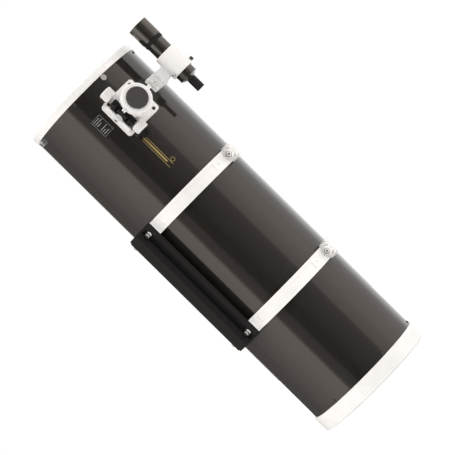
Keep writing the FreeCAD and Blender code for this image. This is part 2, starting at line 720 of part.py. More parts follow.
# --- cradle rings, built about z = 0 and lifted to their stations ---
HALF = BAND_WIDTH / 2.0
LUG_HALF = 24.0
LUG_TOP = 213.0
LOWER_LUG = 9.0
UPPER_LUG = 16.0
SPLIT_GAP = 0.5
CLAMP_SHANK = 4.0
PIN_R = 3.0
KNUCKLE_R = 7.0


def recess(angle0, angle1):
    return arc_band(BAND_OUT - 1.6, BAND_OUT + 2.0, angle0, angle1, -11.0, 11.0)


def softened_lug(x0, x1, half):
    lug = block(x0, x1, BAND_IN + 1.5, LUG_TOP, -half, half)
    return softened(lug, 9.0, lambda edge: edge.BoundBox.YMax < -(LUG_TOP - 0.5)
                    and edge.BoundBox.XLength > 1.0)


def knuckle(z0, z1, x0, x1):
    # a hinge barrel with a web down to the half that it belongs to
    barrel = disc(KNUCKLE_R, z0, z1, 0.0, -HINGE_R)
    web = block(x0, x1, BAND_IN + 2.0, HINGE_R, z0, z1)
    return barrel.fuse(web)


def hinge_hole(radius):
    return turned(disc(radius, -HALF - 2, HALF + 2, 0.0, -HINGE_R), HINGE_ANGLE)


def half_angle(mm):
    return math.degrees(mm / BAND_OUT)


def lower_half():
    gap = half_angle(SPLIT_GAP / 2.0)
    band = arc_band(BAND_IN, BAND_OUT, HINGE_ANGLE + gap, SPLIT_ANGLE - gap, -HALF, HALF)
    lug = turned(softened_lug(-LOWER_LUG - 0.3, -0.3, 20.0), SPLIT_ANGLE)
    foot = turned(block(-46.0, 46.0, 176.0, PLATE_IN, -HALF, HALF), FOOT_ANGLE)
    ears = [turned(knuckle(z0, z0 + 12.0, MOVE_GAP, KNUCKLE_R), HINGE_ANGLE) for z0 in (-HALF, HALF - 12.0)]
    whole = joined(band, lug, foot, *ears)
    tools = [disc(BAND_IN, -30.0, 30.0), hinge_hole(PIN_R + SEAT_GAP * 0.5)]
    tools += [recess(1.0, 35.0), recess(-30.0, -8.0), recess(-110.0, -72.0)]
    middle = block(-30.0, 30.0, 175.0, 230.0, -7.3, 7.3)
    tools.append(turned(middle.common(hinge_swell()), HINGE_ANGLE))
    shank = cross_rod(CLAMP_SHANK + RUN_GAP, -30.0, 10.0, CLAMP_R, 0.0)
    tools.append(turned(shank, SPLIT_ANGLE))
    bolts = [peg(4.0 + SEAT_GAP, 185.0, 200.0, x, 0.0) for x in (-PLATE_BOLT_X, PLATE_BOLT_X)]
    tools += [turned(bolt, FOOT_ANGLE) for bolt in bolts]
    dimple = peg(2.2, BAND_OUT - 2.0, BAND_OUT + 4.0)
    tools.append(turned(dimple, 40.0))
    return less(whole, *tools)


def hinge_swell():
    return disc(KNUCKLE_R + 0.6, -HALF, HALF, 0.0, -HINGE_R)


def upper_half():
    gap = half_angle(SPLIT_GAP / 2.0)
    band = arc_band(BAND_IN, BAND_OUT, SPLIT_ANGLE + gap, HINGE_ANGLE + 360.0 - gap, -HALF, HALF)
    lug = turned(softened_lug(0.3, UPPER_LUG, LUG_HALF), SPLIT_ANGLE)
    pad = turned(block(-26.0, 26.0, 176.0, 199.0, -HALF, HALF), PAD_ANGLE)
    tongue = turned(knuckle(-7.0, 7.0, -KNUCKLE_R, -MOVE_GAP), HINGE_ANGLE)
    whole = joined(band, lug, pad, tongue)
    tools = [disc(BAND_IN, -30.0, 30.0), hinge_hole(PIN_R + RUN_GAP)]
    tools += [recess(76.0, 116.0), recess(144.0, 184.0), recess(190.0, 226.0)]
    for z0 in (-HALF - 0.5, HALF - 12.3):
        ear_room = disc(KNUCKLE_R + 0.6, z0, z0 + 12.8, 0.0, -HINGE_R)
        tools.append(turned(ear_room, HINGE_ANGLE))
    shank = cross_rod(CLAMP_SHANK + 1.0, -10.0, 40.0, CLAMP_R, 0.0)
    tools.append(turned(shank, SPLIT_ANGLE))
    tools.append(turned(peg(PAD_THREAD_R, 187.0, 210.0), PAD_ANGLE))
    return less(whole, *tools)


PAD_THREAD_R = 2.6
LINER_IN = TUBE_R + MOVE_GAP


def liner(angle0, angle1):
    return arc_band(LINER_IN, BAND_IN, angle0 + 2.0, angle1 - 2.0, -HALF + 2.0, HALF - 2.0)


def hinge_pin():
    pin = disc(PIN_R, -HALF - 1.0, HALF + 1.0, 0.0, -HINGE_R)
    cap = disc(4.6, HALF + 0.2, HALF + 2.6, 0.0, -HINGE_R)
    return turned(joined(pin, cap), HINGE_ANGLE)


def clamp_screw():
    shank = cross_rod(CLAMP_SHANK, -14.0, UPPER_LUG - 1.0, CLAMP_R, 0.0)
    head = aimed(knurled(13.0, 12.0, 26, 0.7), V(-LOWER_LUG - 0.8, -CLAMP_R, 0.0), V(-1, 0, 0))
    socket = cross_rod(4.0, -30.0, -LOWER_LUG - 7.0, CLAMP_R, 0.0)
    rim = cross_rod(9.5, -30.0, -LOWER_LUG - 11.6, CLAMP_R, 0.0)
    return turned(less(joined(shank, head), socket, rim), SPLIT_ANGLE)


def lifted(shape, z):
    moved = shape.copy()
    moved.translate(V(0, 0, z))
    return moved


def at_both_rings(shape):
    return Part.makeCompound([lifted(shape, z) for z in CRADLE_Z])


def dovetail_plate():
    flange = block(-47.5, 47.5, PLATE_IN, PLATE_FLANGE, *PLATE_Z)
    flange = softened(flange, 2.0, lambda edge: edge.BoundBox.ZLength > 300.0
                      and edge.BoundBox.YMax < -PLATE_FLANGE + 0.5)
    bar = prism([(-25.0, PLATE_FLANGE - 2), (25.0, PLATE_FLANGE - 2), (25.0, PLATE_FLANGE + 6),
                 (20.0, PLATE_OUT), (-20.0, PLATE_OUT), (-25.0, PLATE_FLANGE + 6)],
                PLATE_Z[0] + 6.0, PLATE_Z[1] - 6.0)
    plate = joined(flange, bar)
    spots = [(x, z) for x in (-PLATE_BOLT_X, PLATE_BOLT_X) for z in CRADLE_Z]
    bolts = [peg(4.0 + SEAT_GAP, 180.0, 230.0, x, z) for x, z in spots]
    return turned(less(plate, *bolts), FOOT_ANGLE)


def plate_bolts():
    bolts = []
    for z in CRADLE_Z:
        for x in (-PLATE_BOLT_X, PLATE_BOLT_X):
            washer = peg(8.8, PLATE_FLANGE, PLATE_FLANGE + 1.8, x, z)
            head = hexagon(13.0, PLATE_FLANGE + 1.8, PLATE_FLANGE + 10.0, x, z)
            shank = peg(4.0, 186.0, PLATE_FLANGE + 3.0, x, z)
            bolts.append(joined(washer, head, shank))
    return turned(Part.makeCompound(bolts), FOOT_ANGLE)


def main():
    os.makedirs("parts", exist_ok=True)
    save("tube_shell", tube_shell())
    save("rear_ring", rear_ring())
    save("front_ring", front_ring())
    save("tube_screws", tube_screws())

    save("spider", spider())
    save("spider_knobs", spider_knobs())
    save("secondary_stem", secondary_stem())
    save("secondary_screws", secondary_screws())
    save("secondary_holder", secondary_holder())
    save("secondary_mirror", secondary_mirror())

    save("primary_mirror", primary_mirror())
    save("mirror_cell", mirror_cell())
    save("mirror_clips", mirror_clips())
    save("cell_frame", cell_frame())
    save("cell_springs", cell_springs())
    save("cell_frame_screws", cell_frame_screws())
    save("cell_lock_screws", cell_lock_screws())
    for number, angle in enumerate(COLLIMATION_ANGLES, start=1):
        save("collimation_knob_%d" % number, collimation_knob(angle))

    save("focuser_base", focuser_base())
    save("focuser_screws", focuser_screws())
    save("focuser_housing", focuser_housing())
    save("draw_bearings", draw_bearings())
    save("shaft_bracket", shaft_bracket())
    save("focus_shaft", focus_shaft())
    save("coarse_knobs", coarse_knobs())
    save("fine_knob", fine_knob())
    save("tension_screw", tension_screw())
    save("lock_screw", lock_screw())
    save("drawtube", drawtube())
    save("collar", collar())
    for number, turn in enumerate(THUMB_TURNS, start=1):
        save("collar_thumbscrew_%d" % number, collar_thumbscrew(turn))
    save("eyepiece_cap", eyepiece_cap())

    save("finder_shoe", finder_shoe())
    save("shoe_thumbscrew", shoe_thumbscrew())
    save("finder_bracket", finder_bracket())
    save("finder_o_ring", finder_ring())
    for number, turn in enumerate(FINDER_SCREW_TURNS, start=1):
        save("finder_screw_%d" % number, finder_screw(turn))
    save("finder_plunger", finder_plunger())
    save("finder_tube", finder_tube())
    save("finder_lock_ring", finder_lock_ring())
    save("dew_shield", dew_shield())
    save("finder_objective", finder_objective())
    save("finder_eyepiece", finder_eyepiece())
    save("finder_eye_lens", finder_eye_lens())

    for name, z in zip(("rear", "front"), CRADLE_Z):
        save(name + "_cradle_lower", lifted(lower_half(), z))
        save(name + "_cradle_upper", lifted(upper_half(), z))
        save(name + "_cradle_upper_felt", lifted(liner(SPLIT_ANGLE, HINGE_ANGLE + 360.0), z))
        save(name + "_clamp_screw", lifted(clamp_screw(), z))
    save("cradle_lower_felts", at_both_rings(liner(HINGE_ANGLE, SPLIT_ANGLE)))
    save("cradle_hinge_pins", at_both_rings(hinge_pin()))
    save("dovetail_plate", dovetail_plate())
    save("plate_bolts", plate_bolts())


main()
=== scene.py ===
import bpy
import json
import numpy as np
from math import cos, pi, radians, sin
from mathutils import Matrix, Vector


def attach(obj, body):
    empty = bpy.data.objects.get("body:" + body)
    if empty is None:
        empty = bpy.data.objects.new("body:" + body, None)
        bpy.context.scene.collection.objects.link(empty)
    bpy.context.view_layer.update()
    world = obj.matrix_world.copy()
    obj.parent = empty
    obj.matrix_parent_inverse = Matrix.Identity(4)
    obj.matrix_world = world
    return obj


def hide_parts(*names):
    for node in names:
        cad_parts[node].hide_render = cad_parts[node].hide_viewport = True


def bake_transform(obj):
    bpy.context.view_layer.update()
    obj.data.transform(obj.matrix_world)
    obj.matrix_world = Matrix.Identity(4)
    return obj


# Reflector telescope tube standing on its mirror end: tube axis +Z, metres.
# A station angle of 0 faces -Y and 90 faces +X.
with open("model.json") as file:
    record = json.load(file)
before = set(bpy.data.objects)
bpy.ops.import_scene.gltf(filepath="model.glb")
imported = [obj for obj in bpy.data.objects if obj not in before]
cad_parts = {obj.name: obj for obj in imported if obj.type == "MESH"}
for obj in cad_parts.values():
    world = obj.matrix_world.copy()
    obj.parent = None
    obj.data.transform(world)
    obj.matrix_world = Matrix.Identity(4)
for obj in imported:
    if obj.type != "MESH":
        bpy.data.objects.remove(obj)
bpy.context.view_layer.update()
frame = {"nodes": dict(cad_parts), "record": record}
nodes = frame["nodes"]
print("frame loaded:", len(nodes), "nodes")

tubeRadius = 0.179
mm = 0.001


def station(angle, radius, height, along=0.0):
    # a point at a station angle; along runs towards larger angles
    a = radians(angle)
    return Vector((radius * sin(a) + along * cos(a), -radius * cos(a) + along * sin(a), height))


# shader groups that several materials share

def newGroup(name, inputs, outputs):
    group = bpy.data.node_groups.new(name, "ShaderNodeTree")
    for label, kind, value in inputs:
        socket = group.interface.new_socket(label, in_out="INPUT", socket_type=kind)
        if value is not None:
            socket.default_value = value
    for label, kind in outputs:
        group.interface.new_socket(label, in_out="OUTPUT", socket_type=kind)
    return group, group.nodes.new("NodeGroupInput"), group.nodes.new("NodeGroupOutput")


def mathNode(tree, operation, a, b=None, clamp=False):
    node = tree.nodes.new("ShaderNodeMath")
    node.operation = operation
    node.use_clamp = clamp
    for socket, value in zip(node.inputs, (a, b)):
        if value is None:
            continue
        if isinstance(value, (int, float)):
            socket.default_value = value
        else:
            tree.links.new(value, socket)
    return node.outputs[0]


def noiseNode(tree, vector, scale, detail=3.0, roughness=0.5):
    node = tree.nodes.new("ShaderNodeTexNoise")
    node.inputs["Detail"].default_value = detail
    node.inputs["Roughness"].default_value = roughness
    if isinstance(scale, (int, float)):
        node.inputs["Scale"].default_value = scale
    else:
        tree.links.new(scale, node.inputs["Scale"])
    tree.links.new(vector, node.inputs["Vector"])
    return node.outputs["Fac"]


def spread(tree, value, low, high, outLow=0.0, outHigh=1.0):
    node = tree.nodes.new("ShaderNodeMapRange")
    tree.links.new(value, node.inputs["Value"])
    for label, number in (("From Min", low), ("From Max", high), ("To Min", outLow), ("To Max", outHigh)):
        if isinstance(number, (int, float)):
            node.inputs[label].default_value = number
        else:
            tree.links.new(number, node.inputs[label])
    return node.outputs["Result"]


def makeSurfaceGroup():
    # fine grain and broad smudges: a height for bump, a roughness and a mask of the smudges
    group, gin, gout = newGroup(
        "paintSurface",
        [("Vector", "NodeSocketVector", None), ("Grain Scale", "NodeSocketFloat", 900.0),
         ("Roughness", "NodeSocketFloat", 0.3), ("Variation", "NodeSocketFloat", 0.08)],
        [("Height", "NodeSocketFloat"), ("Roughness", "NodeSocketFloat"), ("Smudge", "NodeSocketFloat")])
    grain = noiseNode(group, gin.outputs["Vector"], gin.outputs["Grain Scale"], 2.0)
    smudge = noiseNode(group, gin.outputs["Vector"], 14.0, 5.0, 0.6)
    swing = mathNode(group, "MULTIPLY", mathNode(group, "SUBTRACT", smudge, 0.5), gin.outputs["Variation"])
    rough = mathNode(group, "ADD", gin.outputs["Roughness"], swing, clamp=True)
    group.links.new(grain, gout.inputs["Height"])
    group.links.new(rough, gout.inputs["Roughness"])
    group.links.new(spread(group, smudge, 0.35, 0.75), gout.inputs["Smudge"])
    return group


def makeFlakeGroup():
    # metal flakes: each small cell tips its own way, and the cells that catch the light are lightened in
    # colour as a painted sparkle
    group, gin, gout = newGroup(
        "metalFlake",
        [("Vector", "NodeSocketVector", None), ("Scale", "NodeSocketFloat", 1500.0),
         ("Share", "NodeSocketFloat", 0.5)],
        [("Tint", "NodeSocketFloat"), ("Height", "NodeSocketFloat")])
    cells = group.nodes.new("ShaderNodeTexVoronoi")
    group.links.new(gin.outputs["Vector"], cells.inputs["Vector"])
    group.links.new(gin.outputs["Scale"], cells.inputs["Scale"])
    split = group.nodes.new("ShaderNodeSeparateColor")
    group.links.new(cells.outputs["Color"], split.inputs["Color"])
    # cells above the share get a painted sparkle: a lighter colour in place of a real glint
    lit = mathNode(group, "GREATER_THAN", split.outputs["Red"], gin.outputs["Share"])
    tint = mathNode(group, "MULTIPLY", lit, split.outputs["Green"])
    group.links.new(tint, gout.inputs["Tint"])
    group.links.new(split.outputs["Blue"], gout.inputs["Height"])
    return group


def makeWearGroup():
    # worn edges: where a bevelled normal leaves the true one, broken up by noise
    group, gin, gout = newGroup(
        "edgeWear",
        [("Vector", "NodeSocketVector", None), ("Edge", "NodeSocketFloat", 0.0),
         ("Amount", "NodeSocketFloat", 0.5)],
        [("Mask", "NodeSocketFloat")])
    patch = noiseNode(group, gin.outputs["Vector"], 180.0, 6.0, 0.7)
    edge = spread(group, gin.outputs["Edge"], 0.02, 0.3)
    mask = mathNode(group, "MULTIPLY", mathNode(group, "MULTIPLY", edge, spread(group, patch, 0.45, 0.7)),
                    gin.outputs["Amount"], clamp=True)
    group.links.new(mask, gout.inputs["Mask"])
    return group


surfaceGroup = makeSurfaceGroup()
flakeGroup = makeFlakeGroup()
wearGroup = makeWearGroup()
print("shader groups built")


# finishes

def placeGroup(tree, group, vector, **values):
    node = tree.nodes.new("ShaderNodeGroup")
    node.node_tree = group
    tree.links.new(vector, node.inputs["Vector"])
    for label, value in values.items():
        node.inputs[label.replace("_", " ")].default_value = value
    return node


def mixColours(tree, factor, first, second):
    node = tree.nodes.new("ShaderNodeMix")
    node.data_type = "RGBA"
    tree.links.new(factor, node.inputs["Factor"])
    for label, value in (("A", first), ("B", second)):
        socket = [s for s in node.inputs if s.name == label and s.type == "RGBA"][0]
        if isinstance(value, (tuple, list)):
            socket.default_value = (*value, 1.0)
        else:
            tree.links.new(value, socket)
    return [s for s in node.outputs if s.type == "RGBA"][0]


def bumpNormal(tree, height, strength, distance):
    node = tree.nodes.new("ShaderNodeBump")
    node.inputs["Strength"].default_value = strength
    node.inputs["Distance"].default_value = distance
    tree.links.new(height, node.inputs["Height"])
    return node.outputs["Normal"]


def newMaterial(name):
    material = bpy.data.materials.new(name)
    material.use_nodes = True
    tree = material.node_tree
    shader = tree.nodes["Principled BSDF"]
    coords = tree.nodes.new("ShaderNodeTexCoord").outputs["Object"]
    return material, tree, shader, coords


def paint(name, colour, worn, rough, grain=900.0, bump=0.04, coat=0.0, variation=0.08, wear=0.0,
          metal=0.0, smudged=None, specular=0.5):
    # a coated or moulded surface with grain, smudges and worn edges
    material, tree, shader, coords = newMaterial(name)
    surface = placeGroup(tree, surfaceGroup, coords, Grain_Scale=grain, Roughness=rough, Variation=variation)
    body = mixColours(tree, surface.outputs["Smudge"], colour, smudged or tuple(c * 0.9 for c in colour))
    if wear:
        geometry = tree.nodes.new("ShaderNodeNewGeometry")
        bevel = tree.nodes.new("ShaderNodeBevel")
        bevel.samples = 4
        bevel.inputs["Radius"].default_value = 0.6 * mm
        dot = tree.nodes.new("ShaderNodeVectorMath")
        dot.operation = "DOT_PRODUCT"
        tree.links.new(bevel.outputs["Normal"], dot.inputs[0])
        tree.links.new(geometry.outputs["Normal"], dot.inputs[1])
        worked = placeGroup(tree, wearGroup, coords, Amount=wear)
        tree.links.new(mathNode(tree, "SUBTRACT", 1.0, dot.outputs["Value"]), worked.inputs["Edge"])
        body = mixColours(tree, worked.outputs["Mask"], body, worn)
    tree.links.new(body, shader.inputs["Base Color"])
    tree.links.new(surface.outputs["Roughness"], shader.inputs["Roughness"])
    tree.links.new(bumpNormal(tree, surface.outputs["Height"], bump, 0.2 * mm), shader.inputs["Normal"])
    shader.inputs["Metallic"].default_value = metal
    shader.inputs["Specular IOR Level"].default_value = specular
    shader.inputs["Coat Weight"].default_value = coat
    shader.inputs["Coat Roughness"].default_value = 0.08
    return material


def flakePaint(name, colour, sparkleColour, rough, bore):
    # gloss lacquer over fine flake outside, the flakes' glints painted into its colour as painted sparkle;
    # inside the bore radius it is flat black
    material, tree, shader, coords = newMaterial(name)
    surface = placeGroup(tree, surfaceGroup, coords, Grain_Scale=60.0, Roughness=rough, Variation=0.05)
    flakes = placeGroup(tree, flakeGroup, coords, Scale=2600.0, Share=0.6)
    axes = tree.nodes.new("ShaderNodeSeparateXYZ")
    tree.links.new(coords, axes.inputs[0])
    across = mathNode(tree, "MULTIPLY", axes.outputs["X"], axes.outputs["X"])
    deep = mathNode(tree, "MULTIPLY", axes.outputs["Y"], axes.outputs["Y"])
    outside = mathNode(tree, "GREATER_THAN", mathNode(tree, "ADD", across, deep), bore * bore)
    # the flakes' painted sparkle lightens the lacquer colour
    lacquer = mixColours(tree, flakes.outputs["Tint"], colour, sparkleColour)
    tree.links.new(mixColours(tree, outside, (0.010, 0.010, 0.010), lacquer), shader.inputs["Base Color"])
    gloss = spread(tree, outside, 0.0, 1.0, 0.75, surface.outputs["Roughness"])
    tree.links.new(gloss, shader.inputs["Roughness"])
    tree.links.new(bumpNormal(tree, flakes.outputs["Height"], 0.02, 0.01 * mm), shader.inputs["Normal"])
    tree.links.new(outside, shader.inputs["Coat Weight"])
    shader.inputs["Coat Roughness"].default_value = 0.025
    shader.inputs["Specular IOR Level"].default_value = 0.1
    return material


def turnedMetal(name, colour, rough, lines=0.0, variation=0.1):
    # plated or machined metal, with fine tool marks that run across its height
    material, tree, shader, coords = newMaterial(name)
    surface = placeGroup(tree, surfaceGroup, coords, Grain_Scale=700.0, Roughness=rough, Variation=variation)
    smudged = tuple(c * 0.86 for c in colour)
    tree.links.new(mixColours(tree, surface.outputs["Smudge"], colour, smudged), shader.inputs["Base Color"])
    tree.links.new(surface.outputs["Roughness"], shader.inputs["Roughness"])
    height = surface.outputs["Height"]
    if lines:
        wave = tree.nodes.new("ShaderNodeTexWave")
        wave.bands_direction = "Z"
        wave.inputs["Scale"].default_value = lines
        wave.inputs["Distortion"].default_value = 0.4
        tree.links.new(coords, wave.inputs["Vector"])
        height = mathNode(tree, "ADD", height, wave.outputs["Fac"])
    tree.links.new(bumpNormal(tree, height, 0.06, 0.1 * mm), shader.inputs["Normal"])
    shader.inputs["Metallic"].default_value = 1.0
    return material


def glassMaterial(name, colour, tint):
    # coated optical glass; a faint veil of dust shows on it
    material, tree, shader, coords = newMaterial(name)
    surface = placeGroup(tree, surfaceGroup, coords, Grain_Scale=400.0, Roughness=0.03, Variation=0.03)
    tree.links.new(mixColours(tree, surface.outputs["Smudge"], colour, tint), shader.inputs["Base Color"])
    tree.links.new(surface.outputs["Roughness"], shader.inputs["Roughness"])
    shader.inputs["Transmission Weight"].default_value = 0.9
    shader.inputs["IOR"].default_value = 1.52
    return material


def feltMaterial(name, colour, lint):
    material, tree, shader, coords = newMaterial(name)
    fibres = noiseNode(tree, coords, 1600.0, 6.0, 0.8)
    tufts = spread(tree, fibres, 0.55, 0.8)
    tree.links.new(mixColours(tree, tufts, colour, lint), shader.inputs["Base Color"])
    tree.links.new(bumpNormal(tree, fibres, 0.7, 0.4 * mm), shader.inputs["Normal"])
    tree.links.new(spread(tree, fibres, 0.2, 0.8, 0.85, 1.0), shader.inputs["Roughness"])
    shader.inputs["Sheen Weight"].default_value = 0.5
    return material


bareMetal = (0.55, 0.54, 0.52)
midWall = 0.1783  # radius between the lacquered outside of the tube and its flat black inside
finishes = {
    # the tube lacquer's second colour is its flakes' painted sparkle
    "tube_paint": flakePaint("tubeLacquer", (0.0100, 0.0080, 0.0066), (0.032, 0.026, 0.022), 0.4, midWall),
    "white_paint": paint("whitePowderCoat", (0.84, 0.825, 0.81), (0.50, 0.49, 0.47), 0.34,
                         grain=1100.0, bump=0.16, wear=0.25, smudged=(0.75, 0.735, 0.72)),
    "black_paint": paint("mattBlack", (0.012, 0.012, 0.012), bareMetal, 0.6, grain=1400.0, bump=0.2,
                         wear=0.1),
    "finder_paint": paint("finderGloss", (0.020, 0.018, 0.013), bareMetal, 0.16, grain=500.0, bump=0.02,
                          coat=0.8, wear=0.1),
    "grey_paint": paint("paleAnodised", (0.76, 0.75, 0.735), bareMetal, 0.33, grain=1500.0, bump=0.06,
                        metal=0.2, wear=0.2),
    "cast_alloy": paint("castAlloy", (0.36, 0.36, 0.37), bareMetal, 0.5, grain=500.0, bump=0.5, metal=0.9),
    "chrome": turnedMetal("brightPlate", (0.74, 0.74, 0.73), 0.16),
    "steel": turnedMetal("turnedSteel", (0.50, 0.50, 0.50), 0.3, lines=600.0),
    "black_oxide": paint("blackOxide", (0.02, 0.02, 0.022), bareMetal, 0.35, metal=0.6, wear=0.2),
    "black_anodised": paint("blackAnodised", (0.008, 0.0075, 0.0075), bareMetal, 0.36, grain=1500.0,
                            bump=0.05, wear=0.12, specular=0.14),
    "black_plastic": paint("mouldedBlack", (0.034, 0.029, 0.029), (0.12, 0.11, 0.11), 0.42, grain=800.0,
                           bump=0.16, variation=0.12),
    "rubber": paint("rubberRing", (0.022, 0.022, 0.022), (0.05, 0.05, 0.05), 0.65, grain=600.0, bump=0.2),
    "felt": feltMaterial("blackFelt", (0.012, 0.012, 0.012), (0.05, 0.05, 0.05)),
    "mirror": turnedMetal("mirrorCoat", (0.90, 0.91, 0.93), 0.015, variation=0.01),
    "lens_glass": glassMaterial("lensGlass", (0.86, 0.93, 0.88), (0.80, 0.88, 0.86)),
}
slotOf = {part["node"]: part["material_slot"] for part in frame["record"]["subparts"]}


def finish(obj, slotName):
    obj.data.materials.clear()
    obj.data.materials.append(finishes[slotName])


def screwMaterial(name, low, high):
    # black screws, painted white between two heights
    material, tree, shader, coords = newMaterial(name)
    surface = placeGroup(tree, surfaceGroup, coords, Grain_Scale=900.0, Roughness=0.35, Variation=0.1)
    axes = tree.nodes.new("ShaderNodeSeparateXYZ")
    tree.links.new(coords, axes.inputs[0])
    above = mathNode(tree, "GREATER_THAN", axes.outputs["Z"], low)
    below = mathNode(tree, "LESS_THAN", axes.outputs["Z"], high)
    painted = mathNode(tree, "MULTIPLY", above, below)
    dark = mixColours(tree, surface.outputs["Smudge"], (0.018, 0.018, 0.019), (0.03, 0.03, 0.03))
    tree.links.new(mixColours(tree, painted, dark, (0.82, 0.81, 0.80)), shader.inputs["Base Color"])
    tree.links.new(surface.outputs["Roughness"], shader.inputs["Roughness"])
    tree.links.new(bumpNormal(tree, surface.outputs["Height"], 0.1, 0.1 * mm), shader.inputs["Normal"])
    return material


for name, node in nodes.items():
    finish(node, slotOf[name])
shoeScrews = (0.96, 1.01)  # between these heights the screws are the finder shoe's, painted white
nodes["tube_screws"].data.materials[0] = screwMaterial("tubeScrewBlack", *shoeScrews)
deepBlack = paint("satinBlack", (0.011, 0.010, 0.010), (0.08, 0.08, 0.08), 0.45, grain=900.0, bump=0.12,
                  specular=0.2)
for name in ("finder_eyepiece", "finder_lock_ring"):
    nodes[name].data.materials[0] = deepBlack
print("materials on all CAD nodes")


# surfaces as numpy arrays; a shape is its points and its faces

def gridFaces(rows, around):
    # quads between rows of points, closed round; they face outward when the rows run along +Z and the
    # points run anticlockwise
    i, j = np.meshgrid(np.arange(rows - 1), np.arange(around), indexing="ij")
    beside = (j + 1) % around
    quads = np.stack([i * around + j, i * around + beside, (i + 1) * around + beside, (i + 1) * around + j],
                     axis=-1)
    return quads.reshape(-1, 4).tolist()


def fanFaces(rows, around):
    # both ends closed to a middle point; the two middle points follow the grid's own
    k = np.arange(around)
    beside = (k + 1) % around
    last = (rows - 1) * around
    first = np.column_stack([beside, k, np.full(around, rows * around)])
    second = np.column_stack([last + k, last + beside, np.full(around, rows * around + 1)])
    return first.tolist() + second.tolist()


def newPiece(name, shapes, material, smooth=False):
    # several shapes as one object, its place in its points
    points, faces, start = [], [], 0
    for shapePoints, shapeFaces in shapes:
        points.append(shapePoints)
        faces += [[v + start for v in face] for face in shapeFaces]
        start += len(shapePoints)
    mesh = bpy.data.meshes.new(name)
    mesh.from_pydata(np.concatenate(points).tolist(), [], faces)
    mesh.materials.append(material)
    if smooth:
        mesh.polygons.foreach_set("use_smooth", np.ones(len(mesh.polygons), dtype=bool))
    obj = bpy.data.objects.new(name, mesh)
    bpy.context.scene.collection.objects.link(obj)
    return obj


# marks on the tube

def curvedSlab(low, high, angles, heights, steps=9):
    # a thin plate bent round the tube: the outer arc out and the inner arc back, carried from z0 to z1
    turn = np.radians(np.linspace(*angles, steps))
    turn = np.concatenate([turn, turn[::-1]])
    radius = np.repeat([high, low], steps)
    loop = np.stack([radius * np.sin(turn), -radius * np.cos(turn)], axis=-1)
    around = 2 * steps
    points = np.concatenate([np.column_stack([loop, np.full(around, z)]) for z in heights])
    k = np.arange(steps - 1)
    bottom = np.column_stack([k, around - 1 - k, around - 2 - k, k + 1])
    top = np.column_stack([k, k + 1, around - 2 - k, around - 1 - k]) + around
    return points, gridFaces(2, around) + bottom.tolist() + top.tolist()


def curvedRing(low, high, centre, reach, thickness, steps=48):
    # a flat ring laid on the tube: four corners of its section carried round, angle from the tangent offset
    way = np.linspace(0.0, 2.0 * pi, steps, endpoint=False)
    corners = ((reach - thickness, low), (reach, low), (reach, high), (reach - thickness, high))
    rows = []
    for away, radius in corners:
        turn = radians(centre[0]) + away * np.cos(way) / tubeRadius
        height = centre[1] + away * np.sin(way)
        rows.append(np.column_stack([radius * np.sin(turn), -radius * np.cos(turn), height]))
    i, j = np.meshgrid(np.arange(4), np.arange(steps), indexing="ij")
    nextRow, beside = (i + 1) % 4, (j + 1) % steps
    faces = np.stack([i * steps + j, i * steps + beside, nextRow * steps + beside, nextRow * steps + j],
                     axis=-1)
    return np.concatenate(rows), faces.reshape(-1, 4).tolist()


def addMark(name, shapes, material):
    obj = newPiece(name, shapes, material)
    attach(obj, "telescope")


# angles in degrees; bars are start angle, end angle and height; depths are from the tube's surface
dataLabel = {"angles": (-12.6, -2.0), "heights": (0.9730, 1.0270), "edge": 0.35, "inset": 1.1 * mm,
             "line": 0.4 * mm, "bar": 1.12 * mm,
             "plate": (-0.05 * mm, 0.10 * mm), "ink": (0.08 * mm, 0.14 * mm),
             "bars": ((-11.0, -4.6, 1.0195), (-11.0, -3.4, 1.0130), (-11.0, -6.0, 1.0065),
                      (-11.0, -3.8, 0.9935), (-11.0, -7.2, 0.9870), (-11.0, -5.2, 0.9805))}
goldMark = {"stripes": ((7.6, 8.0, 0.797, 0.900), (9.2, 10.6, 0.812, 0.900), (11.8, 12.2, 0.797, 0.900)),
            "ring": (14.6, 0.8065), "reach": 6.2 * mm, "thickness": 1.2 * mm, "film": (-0.05 * mm, 0.09 * mm)}


def makeLabel(values):
    # a black plate with a pale border and plain bars
    low, high = (tubeRadius + depth for depth in values["plate"])
    addMark("dataLabel", [curvedSlab(low, high, values["angles"], values["heights"])], labelBlack)
    low, high = (tubeRadius + depth for depth in values["ink"])
    line, inset = values["line"], values["inset"]
    wide = np.degrees(line / tubeRadius)
    a0, a1 = values["angles"][0] + values["edge"], values["angles"][1] - values["edge"]
    z0, z1 = values["heights"][0] + inset, values["heights"][1] - inset
    border = [curvedSlab(low, high, (a0, a1), (z0, z0 + line)),
              curvedSlab(low, high, (a0, a1), (z1 - line, z1)),
              curvedSlab(low, high, (a0, a0 + wide), (z0, z1), 3),
              curvedSlab(low, high, (a1 - wide, a1), (z0, z1), 3)]
    bars = [curvedSlab(low, high, (begin, close), (z, z + values["bar"]))
            for begin, close, z in values["bars"]]
    addMark("dataLabelLines", border + bars, labelInk)


def makeGoldMark(values):
    # plain stripes and a small ring in gold film
    low, high = (tubeRadius + depth for depth in values["film"])
    shapes = [curvedSlab(low, high, (a0, a1), (z0, z1)) for a0, a1, z0, z1 in values["stripes"]]
    shapes.append(curvedRing(low, high, values["ring"], values["reach"], values["thickness"]))
    addMark("goldMark", shapes, goldFilm)


labelBlack = paint("labelBlack", (0.012, 0.010, 0.010), bareMetal, 0.4, grain=900.0, bump=0.05, specular=0.2)
labelInk = paint("labelInk", (0.50, 0.49, 0.48), bareMetal, 0.5, grain=1200.0, bump=0.05)
goldFilm = turnedMetal("goldFilm", (0.62, 0.50, 0.20), 0.42, variation=0.15)
makeLabel(dataLabel)
makeGoldMark(goldMark)
print("label and gold mark made")


# springs of the mirror cell

coilSpring = {"bottom": 0.0281, "top": 0.0399, "coil": 6.0 * mm, "wire": 1.2 * mm, "turns": 4.0,
              "ground": 0.12, "circle": 0.110, "stations": (0.0, 120.0, 240.0), "steps": 200, "around": 14}


